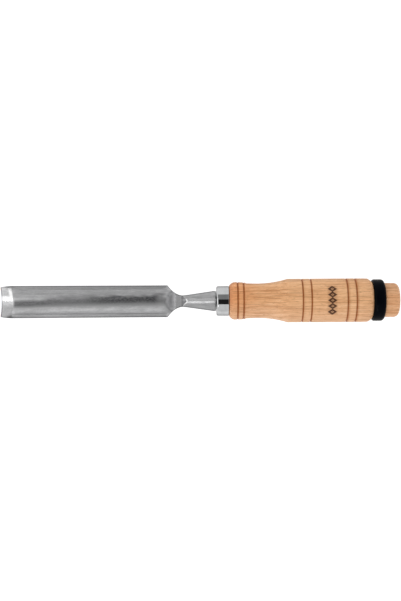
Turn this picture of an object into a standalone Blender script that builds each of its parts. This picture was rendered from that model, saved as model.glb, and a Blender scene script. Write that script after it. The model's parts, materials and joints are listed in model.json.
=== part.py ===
"""In-cannel gouge: a hollow-bladed carpenter's chisel with a hooped wooden handle.

The tool is designed along its own axis. In tool coordinates +X runs from the cutting
edge to the butt of the handle, the hollow of the blade opens towards +Z, and X = 0 is
the front face of the ferrule. An empty named tool_axis carries every piece. It tips the
tool into the attitude in which it lies on a bench, on the back of its cutting edge and
on the swell of its handle, with the origin under the middle of the tool.

Pieces: the blade (one forging with its neck, bolster and tang), the ferrule, the turned
handle and the striking hoop.
"""

import math

import bmesh
import bpy
from mathutils import Vector

MM = 0.001

# Clearance between pieces that touch or nest on the real tool.
GAP = 0.3 * MM

# Stations along the tool axis.
EDGE_X = -138.0 * MM
SHOULDER_X = -31.2 * MM
NECK_X = -21.0 * MM
FERRULE_LENGTH = 8.0 * MM
SWELL_X = 45.4 * MM
HOOP_FRONT_X = 99.4 * MM
HOOP_BACK_X = 106.9 * MM
BUTT_X = 116.3 * MM

# Blade: a half-round section with flat rims, vertical side lands and a rounded back.
RIM_Z = 3.6 * MM
BLADE_HEIGHT = 7.6 * MM
LAND_HEIGHT = 1.9 * MM
BLADE_HALF_WIDTH = 10.25 * MM
SHOULDER_HALF_WIDTH = 10.1 * MM
EDGE_HALF_WIDTH = 9.55 * MM
HOLLOW_HALF_WIDTH = 8.0 * MM
HOLLOW_DEPTH = 4.8 * MM
HOLLOW_END_SLOPE = math.radians(38.0)
BEVEL_LENGTH = 7.6 * MM
EDGE_CURVE = 0.12 * MM
EDGE_THICKNESS = 0.15 * MM

# Neck and bolster: the neck is waisted in plan and dips below the rims in side view.
NECK_HALF_WIDTH = 3.63 * MM
SHOULDER_SWEEP_POWER = 2.1
DIP_START_X = -32.2 * MM
DIP_FLAT_START_X = -27.8 * MM
DIP_FLAT_END_X = -23.2 * MM
DIP_END_X = -18.3 * MM
DIP_DEPTH = 1.55 * MM
BOLSTER_FRONT_HALF_WIDTH = 3.83 * MM
BOLSTER_BACK_HALF_WIDTH = 6.47 * MM
BOLSTER_FRONT_X = -19.4 * MM
BOLSTER_LIP_X = -1.1 * MM
# The bolster's section. The ridge height and the outline from eave to keel are in units of
# its half-width. The facets beside the ridge keep one width and slope along the bolster.
RIDGE_HEIGHT = 0.97
RIDGE_FACET_WIDTH = 1.45 * MM
RIDGE_FACET_SLOPE = math.radians(20.4)
EAVE_TO_KEEL = ((1.0, 0.27), (1.0, -0.9), (0.6, -1.02), (0.0, -1.04))

# Tang: a square spike that tapers into the handle.
TANG_ROOT_WIDTH = 6.4 * MM
TANG_TIP_WIDTH = 3.0 * MM
TANG_LENGTH = 62.0 * MM
POCKET_SPARE = 1.0 * MM

# Ferrule: a drawn cup, closed in front but for the hole the tang passes through.
FERRULE_FRONT_RADIUS = 9.45 * MM
FERRULE_BACK_RADIUS = 9.55 * MM
FERRULE_WALL = 1.0 * MM
FERRULE_FACE_THICKNESS = 1.2 * MM
FERRULE_HOLE_RADIUS = 5.0 * MM
FERRULE_EDGE_ROUND = 0.7 * MM

# Handle: a bead behind the ferrule, a grooved band, a waist, a swell and a long barrel.
BEAD_START_RADIUS = 9.75 * MM
BEAD_X = 12.7 * MM
BEAD_RADIUS = 11.98 * MM
BEAD_BULGE = 0.75 * MM
BAND_BACK_X = 17.95 * MM
BAND_BACK_RADIUS = 11.75 * MM
WAIST_START_X = 19.4 * MM
WAIST_START_RADIUS = 11.2 * MM
WAIST_COVE = 0.12 * MM
WAIST_X = 26.0 * MM
WAIST_RADIUS = 11.0 * MM
WAIST_FRONT_SAG = 0.05 * MM
WAIST_BACK_SAG = 0.74 * MM
SWELL_RADIUS = 13.88 * MM
BARREL_START_X = 48.0 * MM
BARREL_RADIUS = 13.85 * MM
BARREL_BACK_X = 90.0 * MM
BARREL_BACK_RADIUS = 13.95 * MM
HANDLE_BACK_X = 96.2 * MM
HANDLE_BACK_EDGE_RADIUS = 11.8 * MM
HANDLE_BACK_BULGE = 0.2 * MM
HOOP_SEAT_RADIUS = 10.86 * MM
BUTT_ROUND = 3.2 * MM
GROOVE_STATIONS = (13.44 * MM, 17.28 * MM, 54.36 * MM, 59.88 * MM, 82.58 * MM, 88.2 * MM)
GROOVE_HALF_WIDTH = 0.5 * MM
GROOVE_DEPTH = 0.4 * MM

# Striking hoop.
HOOP_RADIUS = 13.3 * MM
HOOP_BORE_RADIUS = HOOP_SEAT_RADIUS + GAP
HOOP_FRONT_EDGE_RADIUS = 12.1 * MM
HOOP_BACK_EDGE_RADIUS = 11.6 * MM
HOOP_FRONT_ROUND = 1.3 * MM
HOOP_FRONT_BULGE = 0.35 * MM
HOOP_BACK_ROUND = 2.3 * MM
HOOP_BACK_BULGE = 0.5 * MM

# Fineness of the curved surfaces.
TURNING_STEPS = 48
HOLLOW_SEGMENTS = 48
BACK_SEGMENTS = 20
SWEEP_STEPS = 12
DIP_STEPS = 6
ROUND_STEPS = 6
CORNER_STEPS = 4
SWELL_STEPS = 10

# Angles between faces above which an edge is shaded sharp.
BLADE_SHARP_ANGLE = math.radians(28.0)
METAL_SHARP_ANGLE = math.radians(35.0)
WOOD_SHARP_ANGLE = math.radians(20.0)

# Finishes, each as colour, roughness and metallic share.
GROUND_STEEL = ((0.36, 0.36, 0.37), 0.35, 1.0)
BRIGHT_STEEL = ((0.62, 0.63, 0.65), 0.12, 1.0)
OILED_WOOD = ((0.7, 0.39, 0.2), 0.55, 0.0)
BLACKENED_STEEL = ((0.012, 0.014, 0.02), 0.35, 0.6)

# How far cutting forms stand clear of the blade.
CUTTER_REACH = 15.0 * MM
CUTTER_MARGIN = 1.0 * MM

# Derived sizes.
BACK_DEPTH = BLADE_HEIGHT - RIM_Z
REST_ANGLE = math.atan2(SWELL_RADIUS - BACK_DEPTH, SWELL_X - EDGE_X)


def circle_radius(half_chord, sagitta):
    """Radius of the circle whose arc has this half chord and this rise."""
    return (half_chord ** 2 + sagitta ** 2) / (2.0 * sagitta)


HOLLOW_RADIUS = circle_radius(HOLLOW_HALF_WIDTH, HOLLOW_DEPTH)
HOLLOW_CENTRE_Z = RIM_Z - HOLLOW_DEPTH + HOLLOW_RADIUS
BACK_RADIUS = circle_radius(BLADE_HALF_WIDTH, BLADE_HEIGHT - LAND_HEIGHT)
BACK_CENTRE_Z = BACK_RADIUS - BACK_DEPTH


def arc(start, end, sagitta, steps):
    """Points after start, up to end, on the arc that bulges sagitta to the left of the chord."""
    start, end = Vector(start), Vector(end)
    chord = end - start
    left = Vector((-chord.y, chord.x)).normalized()
    half_chord = chord.length / 2.0
    radius = circle_radius(half_chord, abs(sagitta))
    side = math.copysign(1.0, sagitta)
    middle = (start + end) / 2.0
    centre = middle + left * side * (abs(sagitta) - radius)
    half_angle = math.asin(min(1.0, half_chord / radius))
    points = []
    for step in range(1, steps + 1):
        angle = half_angle * (2.0 * step / steps - 1.0)
        along = chord.normalized() * radius * math.sin(angle)
        points.append(tuple(centre + along + left * side * radius * math.cos(angle)))
    return points


def round_sagitta(radius):
    """Rise of the arc that rounds a square corner with this radius."""
    return radius * (1.0 - math.sqrt(0.5))


def clear_scene():
    for obj in list(bpy.data.objects):
        bpy.data.objects.remove(obj, do_unlink=True)


def new_collection(name):
    collection = bpy.data.collections.new(name)
    bpy.context.scene.collection.children.link(collection)
    return collection


def new_material(name, colour, roughness, metallic):
    material = bpy.data.materials.new(name)
    material.use_nodes = True
    shader = material.node_tree.nodes["Principled BSDF"]
    shader.inputs["Base Color"].default_value = (*colour, 1.0)
    shader.inputs["Roughness"].default_value = roughness
    shader.inputs["Metallic"].default_value = metallic
    return material


def add_object(name, mesh, collection, axis):
    obj = bpy.data.objects.new(name, mesh)
    obj.parent = axis
    collection.objects.link(obj)
    return obj


def turned(name, profile, closed, collection, axis):
    """A piece turned about the tool axis from a profile of (station, radius) points."""
    mesh = bpy.data.meshes.new(name)
    edges = [(index, index + 1) for index in range(len(profile) - 1)]
    if closed:
        edges.append((len(profile) - 1, 0))
    mesh.from_pydata([(radius, 0.0, station) for station, radius in profile], edges, [])
    obj = add_object(name, mesh, collection, axis)
    obj.rotation_euler = (0.0, math.radians(90.0), 0.0)
    screw = obj.modifiers.new("turning", "SCREW")
    screw.steps = TURNING_STEPS
    screw.render_steps = TURNING_STEPS
    screw.use_merge_vertices = True
    screw.merge_threshold = 1e-6
    return obj


def prism(name, outline, low, high, collection, axis):
    """A closed outline of points, swept by the vector from low to high."""
    form = bmesh.new()
    face = form.faces.new([form.verts.new(Vector(point) + low) for point in outline])
    swept = bmesh.ops.extrude_face_region(form, geom=[face])
    moved = [item for item in swept["geom"] if isinstance(item, bmesh.types.BMVert)]
    bmesh.ops.translate(form, vec=high - low, verts=moved)
    return finish_form(name, form, collection, axis)


def loft(name, rings, collection, axis):
    """A solid skinned in triangles over rings of equally many points, with flat ends."""
    form = bmesh.new()
    loops = [[form.verts.new(point) for point in ring] for ring in rings]
    for loop, following in zip(loops, loops[1:]):
        for index in range(len(loop)):
            after = (index + 1) % len(loop)
            form.faces.new((loop[index], loop[after], following[after], following[index]))
    form.faces.new(loops[0])
    form.faces.new(loops[-1])
    bmesh.ops.triangulate(form, faces=form.faces)
    return finish_form(name, form, collection, axis)


def finish_form(name, form, collection, axis):
    bmesh.ops.recalc_face_normals(form, faces=form.faces)
    mesh = bpy.data.meshes.new(name)
    form.to_mesh(mesh)
    form.free()
    return add_object(name, mesh, collection, axis)


def combine(obj, operation, other):
    modifier = obj.modifiers.new(f"{operation.lower()} {other.name}", "BOOLEAN")
    modifier.operation = operation
    modifier.solver = "EXACT"
    modifier.object = other
    other.hide_render = True
    other.display_type = "WIRE"


def apply_and_shade(obj, material, sharp_angle):
    """Replace the object's mesh by its evaluated one, shaded smooth up to the sharp angle."""
    bpy.context.view_layer.update()
    graph = bpy.context.evaluated_depsgraph_get()
    mesh = bpy.data.meshes.new_from_object(obj.evaluated_get(graph))
    obj.modifiers.clear()
    obj.data = mesh
    mesh.name = obj.name
    mesh.materials.clear()
    mesh.materials.append(material)
    mesh.shade_smooth()
    mesh.set_sharp_from_angle(angle=sharp_angle)


def mirrored_outline(half):
    """A closed outline from its half at positive Y, as (x, y) points in order."""
    return list(half) + [(x, -y) for x, y in reversed(half) if y > 0.0]


def bar_outline():
    """Section of the blank: a flat top over a round back, wider than the finished blade."""
    half_width = BLADE_HALF_WIDTH + CUTTER_MARGIN / 2.0
    half_angle = math.asin(half_width / BACK_RADIUS)
    outline = [(half_width, RIM_Z), (-half_width, RIM_Z)]
    for step in range(BACK_SEGMENTS + 1):
        angle = half_angle * (2.0 * step / BACK_SEGMENTS - 1.0)
        outline.append((BACK_RADIUS * math.sin(angle), BACK_CENTRE_Z - BACK_RADIUS * math.cos(angle)))
    return [(0.0, y, z) for y, z in outline]


def plan_outline():
    """The blade seen from above: slightly tapered, swept in from the shoulders to the neck."""
    neck_end_x = NECK_X - CUTTER_MARGIN
    bevel_x = EDGE_X + BEVEL_LENGTH
    half = [(EDGE_X, EDGE_HALF_WIDTH)]
    half += arc(half[0], (bevel_x, BLADE_HALF_WIDTH), EDGE_CURVE, CORNER_STEPS)
    for step in range(SWEEP_STEPS):
        share = 1.0 - step / SWEEP_STEPS
        x = NECK_X + share * (SHOULDER_X - NECK_X)
        rise = (SHOULDER_HALF_WIDTH - NECK_HALF_WIDTH) * share ** SHOULDER_SWEEP_POWER
        if x < neck_end_x:
            half.append((x, NECK_HALF_WIDTH + rise))
    half.append((neck_end_x, NECK_HALF_WIDTH))
    return [(x, y, 0.0) for x, y in mirrored_outline(half)]


def dip_outline():
    """Side view of what is taken off the top between the rims and the bolster's ridge."""
    low = RIM_Z - DIP_DEPTH
    ridge_z = BOLSTER_FRONT_HALF_WIDTH * RIDGE_HEIGHT
    fall = arc_fall(DIP_START_X - DIP_FLAT_START_X, DIP_DEPTH)
    climb = arc_fall(DIP_END_X - DIP_FLAT_END_X, ridge_z + CUTTER_MARGIN / 2.0 - low)
    outline = [(DIP_START_X - CUTTER_MARGIN, RIM_Z + CUTTER_MARGIN)]
    outline += [(DIP_FLAT_START_X + dx, low + dz) for dx, dz in reversed(fall)]
    outline += [(DIP_FLAT_END_X + dx, low + dz) for dx, dz in climb]
    outline += [(DIP_END_X + CUTTER_MARGIN, CUTTER_REACH), (DIP_START_X - CUTTER_MARGIN, CUTTER_REACH)]
    return [(x, 0.0, z) for x, z in outline]


def arc_fall(run, rise):
    """Offsets along a circular arc that leaves level ground and climbs by rise over run."""
    radius = circle_radius(abs(run), rise)
    offsets = []
    for step in range(DIP_STEPS + 1):
        dx = run * step / DIP_STEPS
        offsets.append((dx, radius - math.sqrt(radius ** 2 - dx ** 2)))
    return offsets


def circle_ring(x, centre_z, radius):
    turns = [2.0 * math.pi * index / HOLLOW_SEGMENTS for index in range(HOLLOW_SEGMENTS)]
    return [(x, radius * math.sin(turn), centre_z + radius * math.cos(turn)) for turn in turns]


def hollow_rings():
    """Circles that shape the bevel, the hollow and its slanted end, from the edge backwards.

    At the cutting edge the circle follows the blade's back, and where the bevel starts it
    has become the hollow's own circle, so the bevel closes the wall to a fine edge.
    """
    overrun = 0.25
    bevel_x = EDGE_X + BEVEL_LENGTH
    outer = (EDGE_X, BACK_CENTRE_Z, BACK_RADIUS - EDGE_THICKNESS)
    inner = (bevel_x, HOLLOW_CENTRE_Z, HOLLOW_RADIUS)
    before = [first + overrun * (first - second) for first, second in zip(outer, inner)]
    floor_z = RIM_Z - HOLLOW_DEPTH
    end = []
    for _, y, z in circle_ring(0.0, HOLLOW_CENTRE_Z, HOLLOW_RADIUS):
        end.append((SHOULDER_X + (z - floor_z) / math.tan(HOLLOW_END_SLOPE), y, z))
    return [circle_ring(*before), circle_ring(*inner), end]


def bolster_ring(x, half_width):
    """Section of the bolster: a faceted roof over upright sides and a shallow keel."""
    ridge_z = RIDGE_HEIGHT * half_width
    facet_fall = RIDGE_FACET_WIDTH * math.tan(RIDGE_FACET_SLOPE)
    right = [(0.0, ridge_z), (RIDGE_FACET_WIDTH, ridge_z - facet_fall)]
    right += [(y * half_width, z * half_width) for y, z in EAVE_TO_KEEL]
    left = [(-y, z) for y, z in reversed(right) if y > 0.0]
    return [(x, y, z) for y, z in right + left]


def square_ring(x, width):
    half = width / 2.0
    return [(x, half, half), (x, -half, half), (x, -half, -half), (x, half, -half)]


def tang_width(x):
    return TANG_ROOT_WIDTH + (TANG_TIP_WIDTH - TANG_ROOT_WIDTH) * x / TANG_LENGTH


def make_blade(parts, cutters, axis):
    back_x = -GAP
    buried = 3.0 * MM
    root_x = NECK_X - 3.5 * MM
    root_half_width = NECK_HALF_WIDTH - 0.1 * MM
    front = Vector((EDGE_X - CUTTER_MARGIN, 0.0, 0.0))
    blade = prism("blade", bar_outline(), front, Vector((NECK_X, 0.0, 0.0)), parts, axis)
    height = Vector((0.0, 0.0, CUTTER_REACH))
    plan = prism("blade_plan", plan_outline(), -height, height, cutters, axis)
    bolster = loft(
        "bolster_form",
        [
            bolster_ring(root_x, root_half_width),
            bolster_ring(BOLSTER_FRONT_X, BOLSTER_FRONT_HALF_WIDTH),
            bolster_ring(BOLSTER_LIP_X, BOLSTER_BACK_HALF_WIDTH),
            bolster_ring(back_x, BOLSTER_BACK_HALF_WIDTH),
        ],
        cutters,
        axis,
    )
    breadth = Vector((0.0, CUTTER_REACH, 0.0))
    dip = prism("neck_dip", dip_outline(), -breadth, breadth, cutters, axis)
    hollow = loft("hollow_form", hollow_rings(), cutters, axis)
    tang_rings = [square_ring(back_x - buried, TANG_ROOT_WIDTH), square_ring(back_x, TANG_ROOT_WIDTH)]
    tang_rings.append(square_ring(TANG_LENGTH, TANG_TIP_WIDTH))
    tang = loft("tang_form", tang_rings, cutters, axis)
    combine(blade, "INTERSECT", plan)
    combine(blade, "UNION", bolster)
    combine(blade, "DIFFERENCE", dip)
    combine(blade, "DIFFERENCE", hollow)
    combine(blade, "UNION", tang)
    apply_and_shade(blade, new_material("ground_steel", *GROUND_STEEL), BLADE_SHARP_ANGLE)
    return blade


def make_ferrule(parts, axis):
    rounding = FERRULE_EDGE_ROUND
    inner = FERRULE_BACK_RADIUS - FERRULE_WALL
    corner = (rounding, FERRULE_FRONT_RADIUS)
    face = (0.0, FERRULE_FRONT_RADIUS - rounding)
    profile = [(FERRULE_LENGTH, inner), (FERRULE_LENGTH, FERRULE_BACK_RADIUS), corner]
    profile += arc(corner, face, -round_sagitta(rounding), CORNER_STEPS)
    profile.append((0.0, FERRULE_HOLE_RADIUS))
    profile.append((FERRULE_FACE_THICKNESS, FERRULE_HOLE_RADIUS))
    profile.append((FERRULE_FACE_THICKNESS, inner))
    ferrule = turned("ferrule", profile, True, parts, axis)
    apply_and_shade(ferrule, new_material("bright_steel", *BRIGHT_STEEL), METAL_SHARP_ANGLE)
    return ferrule


def grooved(start, end):
    """A straight stretch of the handle's outline with the burned grooves that fall on it."""
    (start_x, start_radius), (end_x, end_radius) = start, end
    outline = [start]
    for x in GROOVE_STATIONS:
        if start_x < x < end_x:
            radius = start_radius + (end_radius - start_radius) * (x - start_x) / (end_x - start_x)
            outline.append((x - GROOVE_HALF_WIDTH, radius))
            outline.append((x, radius - GROOVE_DEPTH))
            outline.append((x + GROOVE_HALF_WIDTH, radius))
    return outline + [end]


def handle_outline():
    """The handle from the ferrule's seat to the butt, as (station, radius) points."""
    seat_radius = FERRULE_BACK_RADIUS - FERRULE_WALL - GAP
    seat_x = FERRULE_FACE_THICKNESS + GAP
    bead_start = (FERRULE_LENGTH + GAP, BEAD_START_RADIUS)
    bead_top = (BEAD_X, BEAD_RADIUS)
    band_back = (BAND_BACK_X, BAND_BACK_RADIUS)
    waist_start = (WAIST_START_X, WAIST_START_RADIUS)
    waist = (WAIST_X, WAIST_RADIUS)
    back_edge = (HANDLE_BACK_X, BARREL_RADIUS)
    shoulder = (HOOP_FRONT_X - GAP, HANDLE_BACK_EDGE_RADIUS)
    butt_edge = (BUTT_X - BUTT_ROUND, HOOP_SEAT_RADIUS)
    butt_face = (BUTT_X, HOOP_SEAT_RADIUS - BUTT_ROUND)
    outline = [(seat_x, 0.0), (seat_x, seat_radius), (bead_start[0], seat_radius), bead_start]
    outline += arc(bead_start, bead_top, BEAD_BULGE, ROUND_STEPS)
    outline += grooved(bead_top, band_back)[1:]
    outline += arc(band_back, waist_start, -WAIST_COVE, CORNER_STEPS)
    outline += arc(waist_start, waist, -WAIST_FRONT_SAG, CORNER_STEPS)
    outline += arc(waist, (SWELL_X, SWELL_RADIUS), -WAIST_BACK_SAG, SWELL_STEPS)
    outline += grooved((BARREL_START_X, BARREL_RADIUS), (BARREL_BACK_X, BARREL_BACK_RADIUS))
    outline += [back_edge] + arc(back_edge, shoulder, HANDLE_BACK_BULGE, CORNER_STEPS)
    outline += [(shoulder[0], HOOP_SEAT_RADIUS), butt_edge]
    outline += arc(butt_edge, butt_face, round_sagitta(BUTT_ROUND), ROUND_STEPS)
    outline.append((BUTT_X, 0.0))
    return outline


def make_handle(parts, cutters, axis):
    handle = turned("handle", list(reversed(handle_outline())), False, parts, axis)
    slack = 2.0 * GAP
    mouth_x = 0.0
    depth_x = TANG_LENGTH + POCKET_SPARE
    pocket_rings = [square_ring(x, tang_width(x) + slack) for x in (mouth_x, depth_x)]
    pocket = loft("tang_pocket", pocket_rings, cutters, axis)
    combine(handle, "DIFFERENCE", pocket)
    apply_and_shade(handle, new_material("oiled_wood", *OILED_WOOD), WOOD_SHARP_ANGLE)
    return handle


def make_striking_hoop(parts, axis):
    top = (HOOP_FRONT_X + HOOP_FRONT_ROUND, HOOP_RADIUS)
    back_top = (HOOP_BACK_X - HOOP_BACK_ROUND, HOOP_RADIUS)
    back_edge = (HOOP_BACK_X, HOOP_BACK_EDGE_RADIUS)
    front_edge = (HOOP_FRONT_X, HOOP_FRONT_EDGE_RADIUS)
    outer = [front_edge] + arc(front_edge, top, HOOP_FRONT_BULGE, CORNER_STEPS) + [back_top]
    outer += arc(back_top, back_edge, HOOP_BACK_BULGE, ROUND_STEPS)
    bore = [(HOOP_BACK_X, HOOP_BORE_RADIUS), (HOOP_FRONT_X, HOOP_BORE_RADIUS)]
    profile = list(reversed(outer + bore))
    hoop = turned("striking_hoop", profile, True, parts, axis)
    apply_and_shade(hoop, new_material("blackened_steel", *BLACKENED_STEEL), METAL_SHARP_ANGLE)
    return hoop


def lay_on_bench(axis, pieces):
    """Tip the tool to rest on edge and swell, and centre it over the origin at Z = 0."""
    axis.rotation_euler = (0.0, -REST_ANGLE, 0.0)
    bpy.context.view_layer.update()
    points = [piece.matrix_world @ vertex.co for piece in pieces for vertex in piece.data.vertices]
    low = [min(point[side] for point in points) for side in range(3)]
    high = [max(point[side] for point in points) for side in range(3)]
    axis.location = (-(low[0] + high[0]) / 2.0, -(low[1] + high[1]) / 2.0, -low[2])


def main():
    clear_scene()
    parts = new_collection("in_cannel_gouge")
    cutters = new_collection("cutters")
    axis = bpy.data.objects.new("tool_axis", None)
    parts.objects.link(axis)
    pieces = [
        make_blade(parts, cutters, axis),
        make_ferrule(parts, axis),
        make_handle(parts, cutters, axis),
        make_striking_hoop(parts, axis),
    ]
    lay_on_bench(axis, pieces)
    bpy.context.view_layer.update()


main()
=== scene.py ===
"""Looks of the in-cannel gouge: ground steel, chromed ferrule, turned wood, black hoop.

Every visible piece is modelled again at a finer grain than the CAD model and finished with
procedural materials. Shapes are made in tool coordinates: +X runs from the cutting edge to
the butt, the hollow of the blade opens towards +Z, and X = 0 is the ferrule's front face.
The near side is -Y and the far side +Y. The frame says where the tool axis lies on the floor.
"""

import json
import math

import bmesh
import bpy
from mathutils import Matrix, Vector


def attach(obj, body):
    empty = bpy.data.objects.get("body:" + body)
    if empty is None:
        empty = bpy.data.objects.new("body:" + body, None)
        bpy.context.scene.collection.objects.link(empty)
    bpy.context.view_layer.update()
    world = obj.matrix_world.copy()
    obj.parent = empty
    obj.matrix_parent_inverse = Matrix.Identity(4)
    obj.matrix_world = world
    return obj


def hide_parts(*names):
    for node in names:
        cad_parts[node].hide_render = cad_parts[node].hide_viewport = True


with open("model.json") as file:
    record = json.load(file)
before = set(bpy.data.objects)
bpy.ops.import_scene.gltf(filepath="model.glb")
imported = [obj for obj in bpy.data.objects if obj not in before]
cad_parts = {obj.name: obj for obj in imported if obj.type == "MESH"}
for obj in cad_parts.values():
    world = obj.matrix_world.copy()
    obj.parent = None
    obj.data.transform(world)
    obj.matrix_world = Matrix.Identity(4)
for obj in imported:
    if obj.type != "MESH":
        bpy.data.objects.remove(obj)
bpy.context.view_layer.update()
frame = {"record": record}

MM = 0.001

# Stations along the tool axis.
EDGE_X = -138.0 * MM
BEVEL_X = -130.4 * MM
HOLLOW_BACK_X = -37.0 * MM
SHOULDER_X = -31.2 * MM
NECK_X = -21.0 * MM
CLIMB_BACK_X = -17.5 * MM
BOLSTER_LIP_X = -1.1 * MM
BOLSTER_BACK_X = -0.3 * MM
FERRULE_LENGTH = 8.0 * MM
HOOP_FRONT_X = 99.4 * MM
HOOP_BACK_X = 106.9 * MM
BUTT_X = 116.3 * MM

# Blade: a half-round section with flat rims and upright side lands.
RIM_Z = 3.6 * MM
BACK_DEPTH = 4.0 * MM
LAND_HEIGHT = 1.9 * MM
EDGE_HALF_WIDTH = 9.55 * MM
BLADE_HALF_WIDTH = 10.25 * MM
SHOULDER_HALF_WIDTH = 10.1 * MM
EDGE_CURVE = 0.12 * MM
HOLLOW_HALF_WIDTH = 8.0 * MM
HOLLOW_DEPTH = 4.8 * MM
HOLLOW_END_SLOPE = math.radians(40.0)
EDGE_THICKNESS = 0.15 * MM
CORNER_ROUND = 0.22 * MM
MOUTH_BLEND = 0.3 * MM
ROOF_BLEND = 0.5 * MM
HOLLOW_END_BLEND = 1.6 * MM
END_WALL_REACH = 4.0 * MM

# Neck and bolster. The dip behind the hollow climbs on an arc that would overshoot the ridge.
NECK_HALF_WIDTH = 3.63 * MM
SHOULDER_SWEEP_POWER = 2.1
DIP_START_X = -33.0 * MM
DIP_FLAT_START_X = -27.6 * MM
DIP_FLAT_END_X = -23.2 * MM
DIP_END_X = -18.3 * MM
DIP_DEPTH = 1.55 * MM
CLIMB_OVERSHOOT = 0.5 * MM
BOLSTER_BLEND_X = -25.0 * MM
ROOF_START_X = -23.0 * MM
ROOF_CLEAR_X = -20.4 * MM
ROOF_END_X = -16.0 * MM
BOLSTER_FRONT_X = -19.4 * MM
BOLSTER_FRONT_HALF_WIDTH = 3.83 * MM
BOLSTER_BACK_HALF_WIDTH = 6.47 * MM
# The facets beside the bolster's ridge keep one width and slope. The rest of its section is
# in units of its half-width: ridge and eave, the side's lower corner, the hip and the keel.
RIDGE_FACET_WIDTH = 1.45 * MM
RIDGE_FACET_SLOPE = math.radians(20.4)
ROOF_RIDGE_Z = 0.97
ROOF_EAVE_Z = 0.27
HULL_CORNER_Z = -0.9
HULL_HIP = (0.6, -1.02)
HULL_KEEL_Z = -1.04
TANG_ROOT_WIDTH = 6.4 * MM
TANG_TIP_WIDTH = 3.0 * MM
TANG_LENGTH = 62.0 * MM

# Stations this close to an edge keep it crisp. The bolster's lip ends drawn in to this share.
CRISP = 0.08 * MM
LIP_EDGE_SHARE = 0.96

# Ferrule.
FERRULE_FRONT_RADIUS = 9.45 * MM
FERRULE_BACK_RADIUS = 9.55 * MM
FERRULE_WALL = 1.0 * MM
FERRULE_FACE_THICKNESS = 1.2 * MM
FERRULE_HOLE_RADIUS = 5.0 * MM
FERRULE_FRONT_ROUND = 1.1 * MM
FERRULE_BACK_ROUND = 0.45 * MM

# Handle. A bulge is the height of an arc over its chord, a dip its depth under it.
GAP = 0.3 * MM
POCKET_SPARE = 1.0 * MM
BEAD_START_RADIUS = 9.75 * MM
BEAD_X = 12.7 * MM
BEAD_RADIUS = 11.98 * MM
BEAD_BULGE = 0.75 * MM
BAND_BACK_X = 17.95 * MM
BAND_BACK_RADIUS = 11.75 * MM
BAND_DIP = 0.12 * MM
WAIST_START_X = 19.4 * MM
WAIST_START_RADIUS = 11.2 * MM
WAIST_FRONT_DIP = 0.05 * MM
WAIST_X = 26.0 * MM
WAIST_RADIUS = 11.0 * MM
WAIST_BACK_DIP = 0.74 * MM
SWELL_X = 45.4 * MM
SWELL_RADIUS = 13.88 * MM
SWELL_BULGE = 0.02 * MM
BARREL_START_X = 48.0 * MM
BARREL_RADIUS = 13.85 * MM
BARREL_BACK_X = 90.0 * MM
BARREL_BACK_RADIUS = 13.95 * MM
HANDLE_BACK_X = 96.2 * MM
HANDLE_BACK_EDGE_RADIUS = 11.8 * MM
HANDLE_BACK_BULGE = 0.2 * MM
HOOP_SEAT_RADIUS = 10.86 * MM
BUTT_ROUND = 3.2 * MM
GROOVE_STATIONS = (13.44 * MM, 17.28 * MM, 54.36 * MM, 59.88 * MM, 82.58 * MM, 88.2 * MM)
GROOVE_HALF_WIDTH = 0.55 * MM
GROOVE_DEPTH = 0.4 * MM
# The wood is fully burned this close to the middle of a groove, and not at all beyond the reach.
CHAR_CORE = 0.35 * MM
CHAR_REACH = 0.75 * MM

# Striking hoop.
HOOP_RADIUS = 13.3 * MM
HOOP_BORE_RADIUS = HOOP_SEAT_RADIUS + GAP
HOOP_FRONT_EDGE_RADIUS = 12.1 * MM
HOOP_FRONT_ROUND = 1.3 * MM
HOOP_FRONT_BULGE = 0.35 * MM
HOOP_BACK_EDGE_RADIUS = 11.6 * MM
HOOP_BACK_ROUND = 2.3 * MM
HOOP_BACK_BULGE = 0.5 * MM

# Masks painted on the blade, for painted shade, a darker end wall and a painted highlight: over what
# distances each fades, and how faint its lesser parts are.
LAND_FADE = (0.25 * MM, 0.75 * MM)
LAND_FLARE = 0.35 * MM
LAND_FLARE_LENGTH = 2.0 * MM
LAND_BEVEL_SHARE = 0.3
MOUTH_FADE = (0.1 * MM, 0.5 * MM)
WALL_FOOT_FADE = (-2.2 * MM, -0.5 * MM)
WALL_EDGE_FADE = (-1.7 * MM, 0.0)
WALL_NEAR_REACH = (3.0 * MM, 6.0 * MM)
WALL_NEAR_SHARE = 0.85
CREASE_START = (1.8 * MM, 3.4 * MM)
CREASE_FADE = (0.4 * MM, 1.3 * MM)
CREASE_NEAR_SHARE = 0.6
CLIMB_START_LENGTH = 1.2 * MM
CLIMB_FADE = (-0.1 * MM, 0.3 * MM)
EDGE_HIGHLIGHT_SIDE = (-1.2 * MM, 0.2 * MM)
EDGE_HIGHLIGHT_FADE = (0.15 * MM, 0.4 * MM)

# How much slower the wood's figure changes with depth than across the tool.
GRAIN_DEPTH_SHARE = 0.22

# Painted light on the steel across the tool, as (Y, share) stops: first painted reflections in the
# hollow and on its rims, then painted shading on the bolster's facets with a painted highlight along
# the far side of its ridge. The neck between them has one painted brightness.
HOLLOW_PAINTED_LIGHT = (
    (-10.0 * MM, 1.0), (-9.0 * MM, 1.06), (-7.6 * MM, 1.62), (-6.4 * MM, 1.54), (-5.0 * MM, 1.33),
    (-2.5 * MM, 1.15), (1.6 * MM, 0.98), (3.2 * MM, 0.63), (5.3 * MM, 0.74), (7.6 * MM, 1.44),
    (8.4 * MM, 0.88), (10.0 * MM, 0.94),
)
BOLSTER_PAINTED_LIGHT = (
    (-4.0 * MM, 0.7), (-1.3 * MM, 0.64), (-0.2 * MM, 0.64), (0.3 * MM, 1.44), (0.9 * MM, 1.75),
    (1.4 * MM, 1.05), (1.9 * MM, 0.57), (4.0 * MM, 0.74),
)
NECK_PAINTED_LIGHT = 1.08
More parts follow.
